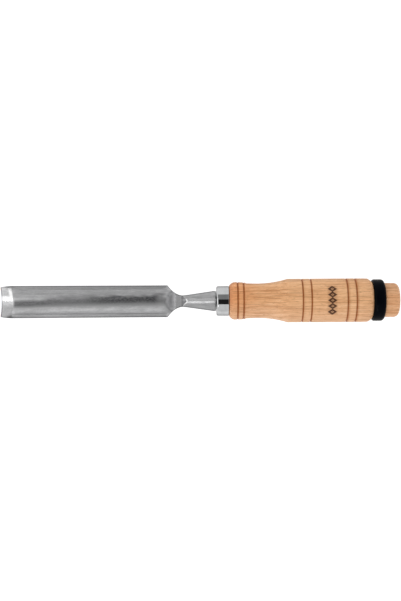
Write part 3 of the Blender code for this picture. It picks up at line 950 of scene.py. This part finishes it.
def steel():
    """Satin ground steel, mottled and finely scratched lengthwise, with painted light: a painted dark
    reflection along the hollow's floor, painted reflections and shade across the hollow, painted shade
    along edges and creases, and painted highlights.
    """
    material, tree, shader = new_material("satin_ground_steel")
    position = tool_position(tree)
    axes = components(tree, position)
    mottle = noise(tree, position, 7.0 * MM, 2.0 * MM, 4.0, 0.6)
    fine = noise(tree, position, 1.6 * MM, 0.6 * MM, 3.0, 0.6)
    scratches = noise(tree, position, 30.0 * MM, 0.35 * MM, 2.0, 0.6)
    tone = weighted(tree, (mottle, 0.45), (fine, 0.25), (scratches, 0.3))
    # Painted reflections and facet shading, laid over the steel's mottled tone.
    painted_lit_tone = tinted(tree, gradient(tree, tone, STEEL_TONES), painted_steel_light(tree, axes))
    # A painted dark reflection along the hollow's floor.
    floor_reflected = blend_colour(tree, painted_floor_reflection(tree, axes, mottle, fine), painted_lit_tone, STEEL_DARK_REFLECTION)
    # The bevel in painted light and shade, with painted highlights.
    ground = blend_colour(tree, painted(tree, "bevel"), floor_reflected, painted_bevel_light(tree, axes, fine))
    # Painted shade along the edges, lines, crease and rise, and over the end wall.
    edged = blend_colour(tree, painted_steel_shade(tree, fine), ground, STEEL_PAINTED_SHADE)
    # A painted highlight along the edge where the dip meets the bolster's roof.
    edge_highlight = product(tree, painted(tree, "edge_highlight"), EDGE_HIGHLIGHT_DEPTH)
    tree.links.new(blend_colour(tree, edge_highlight, edged, STEEL_HIGHLIGHT), shader.inputs["Base Color"])
    satin = remap(tree, tone, 0.35, 0.65, 0.52, 0.42)
    forged = remap(tree, axes["X"], NECK_X, BOLSTER_FRONT_X)
    smoother = calculate(tree, "MAXIMUM", painted(tree, "bevel"), forged)
    roughness = calculate(tree, "MULTIPLY_ADD", smoother, -0.16, satin)
    tree.links.new(roughness, shader.inputs["Roughness"])
    shader.inputs["Metallic"].default_value = 0.9
    shader.inputs["Specular Tint"].default_value = (0.5, 0.5, 0.5, 1.0)
    grain = bump(tree, fine, 0.012 * MM, 0.7)
    tree.links.new(bump(tree, scratches, 0.008 * MM, 0.8, grain), shader.inputs["Normal"])
    return material


def painted_steel_shade(tree, fine):
    """Painted shade on the steel along its side lands, the hollow's mouth lines and end crease and the
    neck's rise, and a darker end wall.
    """
    hatch = remap(tree, fine, 0.4, 0.58, 0.45, 0.9)
    shade = product(tree, painted(tree, "crease"), hatch)
    for mask, depth in PAINTED_SHADE_DEPTHS:
        shade = calculate(tree, "MAXIMUM", shade, product(tree, painted(tree, mask), depth))
    return shade


def painted_steel_light(tree, axes):
    """Painted light on the steel: painted reflections across the hollow, darker on its near flank at
    the front, one brightness on the neck, and painted facet shading and a ridge highlight on the
    bolster.
    """
    near_flank = remap(tree, axes["Y"], -3.0 * MM, 0.0, 0.85, 1.04)
    front = remap(tree, axes["X"], -122.0 * MM, -106.0 * MM, 1.0, 0.0)
    across = profile(tree, axes["Y"], HOLLOW_PAINTED_LIGHT)
    hollow = product(tree, across, mixed(tree, front, 1.0, near_flank))
    neck = remap(tree, axes["X"], -35.0 * MM, -30.5 * MM)
    bolster = remap(tree, axes["X"], -22.8 * MM, BOLSTER_FRONT_X)
    behind = mixed(tree, bolster, NECK_PAINTED_LIGHT, profile(tree, axes["Y"], BOLSTER_PAINTED_LIGHT))
    return mixed(tree, neck, hollow, behind)


def painted_floor_reflection(tree, axes, mottle, fine):
    """How dark the speckled painted dark reflection is that lies along the floor of the hollow.

    It starts as a narrow line behind the bevel and widens towards the far side on its way back.
    """
    wander = calculate(tree, "MULTIPLY_ADD", mottle, 2.0 * MM, -1.0 * MM)
    y = calculate(tree, "ADD", axes["Y"], wander)
    far_end = remap(tree, axes["X"], -116.0 * MM, -70.0 * MM, -0.4 * MM, 2.5 * MM)
    spread = remap(tree, axes["X"], -42.0 * MM, -34.0 * MM, 0.0, 1.6 * MM)
    past_end = calculate(tree, "SUBTRACT", y, calculate(tree, "ADD", far_end, spread))
    far = remap(tree, past_end, 0.0, profile(tree, axes["X"], FLOOR_REFLECTION_FADE), 1.0, 0.0, smooth=True)
    near_full = remap(tree, axes["X"], BEVEL_X, -50.0 * MM, -1.7 * MM, 1.3 * MM)
    near_end = remap(tree, axes["X"], BEVEL_X, -50.0 * MM, -4.4 * MM, -3.7 * MM)
    near = remap(tree, y, near_end, near_full, smooth=True)
    speckle = remap(tree, fine, 0.36, 0.6, 0.72, 1.0)
    strength = profile(tree, axes["X"], FLOOR_REFLECTION_DEPTH)
    front = remap(tree, axes["X"], BEVEL_X + 0.3 * MM, BEVEL_X + 1.5 * MM)
    thinned = remap(tree, axes["X"], -40.0 * MM, -35.5 * MM, 1.0, 0.58, smooth=True)
    back = remap(tree, axes["X"], -35.0 * MM, -29.5 * MM, 1.0, 0.0, smooth=True)
    below_rim = remap(tree, axes["Z"], 0.0, 2.2 * MM, 1.0, 0.0)
    above_back = remap(tree, axes["Z"], -2.4 * MM, -1.6 * MM)
    return product(tree, near, far, speckle, strength, front, thinned, back, below_rim, above_back)


def painted_bevel_light(tree, axes, fine):
    """Colour of the ground bevel, in painted light: its far half is painted brighter, with painted
    highlights at its back and its middle, and a dark line runs along the cutting edge.
    """
    ragged = calculate(tree, "MULTIPLY_ADD", fine, 2.4 * MM, -1.2 * MM)
    x = calculate(tree, "ADD", axes["X"], ragged)
    y = calculate(tree, "ADD", axes["Y"], ragged)
    side = remap(tree, y, 0.0, 1.6 * MM, smooth=True)
    strip = remap(tree, x, BEVEL_X - 2.7 * MM, BEVEL_X - 1.7 * MM)
    streak = remap(tree, y, 3.0 * MM, 4.6 * MM, 1.0, 0.0, smooth=True)
    glare = product(tree, side, calculate(tree, "MAXIMUM", strip, streak))
    base = blend_colour(tree, side, BEVEL_SHADED_HALF, BEVEL_LIT_HALF)
    blotched = tinted(tree, base, remap(tree, fine, 0.3, 0.7, 0.82, 1.18))
    shiny = blend_colour(tree, glare, blotched, BEVEL_HIGHLIGHT)
    edge = remap(tree, axes["X"], EDGE_X + 0.3 * MM, EDGE_X + 0.8 * MM, 0.7, 0.0)
    return blend_colour(tree, edge, shiny, BEVEL_EDGE)


def chrome():
    """Polished plating with faint turning marks and a few handling smudges."""
    material, tree, shader = new_material("polished_chrome")
    position = tool_position(tree)
    rings = noise(tree, position, 0.12 * MM, 40.0 * MM, 2.0, 0.5)
    smudges = noise(tree, position, 4.0 * MM, 4.0 * MM, 4.0, 0.6)
    tree.links.new(gradient(tree, smudges, CHROME_TONES), shader.inputs["Base Color"])
    tree.links.new(remap(tree, smudges, 0.35, 0.75, 0.04, 0.11), shader.inputs["Roughness"])
    shader.inputs["Metallic"].default_value = 1.0
    shader.inputs["Specular Tint"].default_value = (0.4, 0.4, 0.4, 1.0)
    tree.links.new(bump(tree, rings, 0.002 * MM, 0.5), shader.inputs["Normal"])
    return material


def ornament(tree, axes):
    """Shares of the burned chain of lozenges on top of the barrel, and of the scorch about it."""
    off_middle = calculate(tree, "ABSOLUTE", calculate(tree, "SUBTRACT", axes["X"], ORNAMENT_X))
    along = calculate(tree, "DIVIDE", off_middle, ORNAMENT_HALF_LENGTH)
    half_pitch = ORNAMENT_PITCH / 2.0
    shifted = calculate(tree, "ADD", axes["Y"], half_pitch)
    from_corner = calculate(tree, "PINGPONG", shifted, half_pitch)
    from_centre = calculate(tree, "SUBTRACT", half_pitch, from_corner)
    reach = calculate(tree, "ADD", along, calculate(tree, "DIVIDE", from_centre, half_pitch))
    off_line = calculate(tree, "ABSOLUTE", calculate(tree, "SUBTRACT", reach, 0.74))
    outline = remap(tree, off_line, 0.3, 0.42, 1.0, 0.0)
    dot = remap(tree, reach, 0.14, 0.22, 1.0, 0.0)
    pattern = calculate(tree, "MAXIMUM", outline, dot)
    halo = remap(tree, along, 0.7, 1.5, 0.35, 0.0, smooth=True)
    span = calculate(tree, "LESS_THAN", calculate(tree, "ABSOLUTE", axes["Y"]), ORNAMENT_HALF_SPAN)
    place = product(tree, span, calculate(tree, "GREATER_THAN", axes["Z"], 0.0))
    return product(tree, pattern, place), product(tree, halo, place)


def turn_side(tree, position):
    """Which side of the handle a point is on: from -1 on the near side to 1 on the far one."""
    turn = vector_math(tree, "NORMALIZE", vector_math(tree, "MULTIPLY", position, ACROSS))
    return components(tree, turn)["Y"]


def painted_handle_shade(tree, side, axes):
    """Painted shade on the wood about the axis: darker down its sides, less so on the butt."""
    limb = profile(tree, side, HANDLE_PAINTED_SHADING)
    off_axis = remap(tree, calculate(tree, "ABSOLUTE", axes["Y"]), 3.0 * MM, 9.0 * MM, 1.03, 0.86)
    on_butt = calculate(tree, "GREATER_THAN", axes["X"], HOOP_BACK_X - HOOP_BACK_ROUND)
    return mixed(tree, on_butt, limb, off_axis)


def wood_tint(tree, position, axes):
    """Tint of the wood: redder towards both ends, with painted shade at the bead's front by the
    ferrule, painted light down the near side and painted shade at the sides.
    """
    # Redder towards both ends, with painted shade at the bead's front.
    ends = gradient(tree, remap(tree, axes["X"], FERRULE_LENGTH, BUTT_X), WOOD_TINTS_AND_SHADE)
    side = turn_side(tree, position)
    near_side = remap(tree, side, -0.75, 0.0, 1.0, 0.0)
    # Painted light down the near side.
    near_lit = product(tree, near_side, profile(tree, axes["X"], NEAR_SIDE_PAINTED_LIGHT))
    tint = blend_colour(tree, near_lit, ends, WOOD_NEAR_LIGHT)
    return tinted(tree, tint, painted_handle_shade(tree, side, axes))


def late_wood(tree, position):
    """How far each year's ring has darkened, from 0 to 1."""
    sway = noise(tree, position, 60.0 * MM, 12.0 * MM, 2.0, 0.5)
    from_pith = vector_math(tree, "MULTIPLY", vector_math(tree, "SUBTRACT", position, PITH), ACROSS)
    distance = vector_math(tree, "LENGTH", from_pith)
    radius = calculate(tree, "MULTIPLY_ADD", sway, 5.0 * MM, distance)
    ring = calculate(tree, "FRACT", calculate(tree, "DIVIDE", radius, RING))
    return remap(tree, ring, 0.45, 1.0, smooth=True)


def wood():
    """Oiled pale hardwood: growth rings, lengthwise streaks, ray flecks and burned marks."""
    material, tree, shader = new_material("oiled_beech")
    position = tool_position(tree)
    axes = components(tree, position)
    board = vector_math(tree, "MULTIPLY", position, (1.0, 1.0, GRAIN_DEPTH_SHARE))
    streaks = noise(tree, board, 24.0 * MM, 1.1 * MM, 4.0, 0.62)
    hairs = noise(tree, board, 7.0 * MM, 0.5 * MM, 4.0, 0.68)
    clouds = noise(tree, position, 45.0 * MM, 9.0 * MM, 2.0, 0.5)
    rings = late_wood(tree, position)
    tone = weighted(tree, (streaks, 0.4), (hairs, 0.4), (clouds, 0.2), (rings, -0.035))
    off_middle = calculate(tree, "SUBTRACT", tone, GRAIN_MIDDLE)
    contrast = profile(tree, axes["X"], GRAIN_CONTRAST)
    tone = calculate(tree, "MULTIPLY_ADD", off_middle, contrast, GRAIN_MIDDLE)
    body = tinted(tree, gradient(tree, tone, WOOD_TONES), wood_tint(tree, position, axes))
    flecks = noise(tree, position, 2.6 * MM, 0.3 * MM, 1.0, 0.4)
    flecked = blend_colour(tree, remap(tree, flecks, 0.62, 0.74, 0.0, 0.6), body, WOOD_FLECK)
    lines = noise(tree, board, 20.0 * MM, 0.55 * MM, 1.0, 0.4, 0.4)
    lined = blend_colour(tree, remap(tree, lines, 0.57, 0.67, 0.0, 0.42), flecked, WOOD_LINE)
    scorch = product(tree, painted(tree, "char"), remap(tree, streaks, 0.2, 0.6, 1.0, 0.82))
    burned = blend_colour(tree, scorch, lined, CHAR_BROWN)
    pattern, halo = ornament(tree, axes)
    smoked = blend_colour(tree, halo, burned, SMOKE_BROWN)
    mark = product(tree, pattern, remap(tree, hairs, 0.25, 0.6, 1.0, 0.85))
    tree.links.new(blend_colour(tree, mark, smoked, BURN_BLACK), shader.inputs["Base Color"])
    oiled = remap(tree, tone, 0.3, 0.7, 0.66, 0.52)
    tree.links.new(calculate(tree, "MULTIPLY_ADD", mark, 0.25, oiled), shader.inputs["Roughness"])
    shader.inputs["Specular IOR Level"].default_value = 0.22
    fibres = bump(tree, calculate(tree, "ADD", hairs, streaks), 0.03 * MM, 0.7)
    pores = bump(tree, product(tree, flecks, -1.0), 0.03 * MM, 0.6, fibres)
    pressed = bump(tree, product(tree, mark, -1.0), 0.1 * MM, 0.5, pores)
    tree.links.new(pressed, shader.inputs["Normal"])
    return material


def black_paint():
    """Satin black paint over steel, with a fine skin and a trace of handling wear."""
    material, tree, shader = new_material("satin_black_paint")
    position = tool_position(tree)
    paint_skin = noise(tree, position, 0.7 * MM, 0.7 * MM, 3.0, 0.55)
    wear = noise(tree, position, 3.0 * MM, 5.0 * MM, 5.0, 0.65)
    tree.links.new(gradient(tree, wear, BLACK_TONES), shader.inputs["Base Color"])
    tree.links.new(remap(tree, wear, 0.3, 0.75, 0.3, 0.42), shader.inputs["Roughness"])
    shader.inputs["Specular IOR Level"].default_value = 0.02
    tree.links.new(bump(tree, paint_skin, 0.02 * MM, 0.5), shader.inputs["Normal"])
    return material


def floor_finish():
    """Matt white table with the faintest mottling, bright enough to leave only a breath of shadow."""
    material, tree, shader = new_material("white_table")
    position = add_node(tree, "ShaderNodeTexCoord").outputs["Object"]
    mottle = noise(tree, position, 40.0 * MM, 40.0 * MM, 3.0, 0.5)
    tree.links.new(gradient(tree, mottle, TABLE_TONES), shader.inputs["Base Color"])
    shader.inputs["Roughness"].default_value = 0.9
    shader.inputs["Specular IOR Level"].default_value = 0.0
    shader.inputs["Emission Color"].default_value = (1.0, 1.0, 1.0, 1.0)
    shader.inputs["Emission Strength"].default_value = 0.92
    return material


# -------- studio

def make_floor():
    reach = FLOOR_HALF_SIZE
    corners = [(-reach, -reach, 0.0), (reach, -reach, 0.0), (reach, reach, 0.0), (-reach, reach, 0.0)]
    mesh = bpy.data.meshes.new("floor")
    mesh.from_pydata(corners, [], [(0, 1, 2, 3)])
    mesh.materials.append(floor_finish())
    floor = bpy.data.objects.new("floor", mesh)
    bpy.context.scene.collection.objects.link(floor)


def make_sky():
    """A white studio, brighter on the far side, with a black and a dim strip overhead."""
    world = bpy.data.worlds.new("studio")
    bpy.context.scene.world = world
    world.use_nodes = True
    tree = world.node_tree
    background = tree.nodes["Background"]
    axes = components(tree, add_node(tree, "ShaderNodeTexCoord").outputs["Generated"])
    light = remap(tree, axes["Y"], -1.0, 1.0, SKY_NEAR, SKY_FAR)
    ends = remap(tree, calculate(tree, "ABSOLUTE", axes["X"]), *STRIP_ENDS, 1.0, 0.0)
    overhead = product(tree, ends, calculate(tree, "GREATER_THAN", axes["Z"], 0.0))
    for middle, half_width, level in SKY_STRIPS:
        off = calculate(tree, "ABSOLUTE", calculate(tree, "SUBTRACT", axes["Y"], middle))
        inside = remap(tree, off, half_width - STRIP_BLUR, half_width + STRIP_BLUR, 1.0, 0.0)
        share = product(tree, inside, overhead)
        light = product(tree, light, calculate(tree, "MULTIPLY_ADD", share, level - 1.0, 1.0))
    tree.links.new(light, background.inputs["Strength"])
    background.inputs["Color"].default_value = (1.0, 1.0, 1.0, 1.0)


def make_soft_light(name, place, width, height, power):
    """A rectangular soft light at a place in metres, facing the frame's origin."""
    light = bpy.data.lights.new(name, "AREA")
    light.shape = "RECTANGLE"
    light.size = width
    light.size_y = height
    light.energy = power
    lamp = bpy.data.objects.new(name, light)
    lamp.location = place
    lamp.rotation_euler = (-Vector(place)).to_track_quat("-Z", "Y").to_euler()
    bpy.context.scene.collection.objects.link(lamp)


def make_camera():
    camera = bpy.data.cameras.new("camera")
    camera.sensor_width = SENSOR_WIDTH
    camera.lens = SENSOR_WIDTH * CAMERA_DISTANCE / FRAME_HEIGHT
    camera.shift_x = (VIEW_CENTRE_X - CAMERA_X) / FRAME_HEIGHT
    camera.clip_start = 10.0 * MM
    place = Matrix.Translation((CAMERA_X, CAMERA_Y, CAMERA_DISTANCE))
    viewer = bpy.data.objects.new("camera", camera)
    viewer.matrix_world = tool_matrix() @ place @ Matrix.Rotation(CAMERA_ROLL, 4, "Z")
    bpy.context.scene.collection.objects.link(viewer)
    bpy.context.scene.camera = viewer


def make_studio():
    make_floor()
    make_sky()
    make_soft_light("key_light", (-0.72, -0.05, 0.85), width=0.9, height=0.5, power=2.2)
    make_soft_light("ridge_light", (-0.36, -0.68, 0.78), width=0.3, height=0.3, power=0.9)
    make_camera()
    bpy.context.scene.view_settings.view_transform = "Standard"


make_blade()
make_ferrule()
make_handle()
make_hoop()
make_studio()
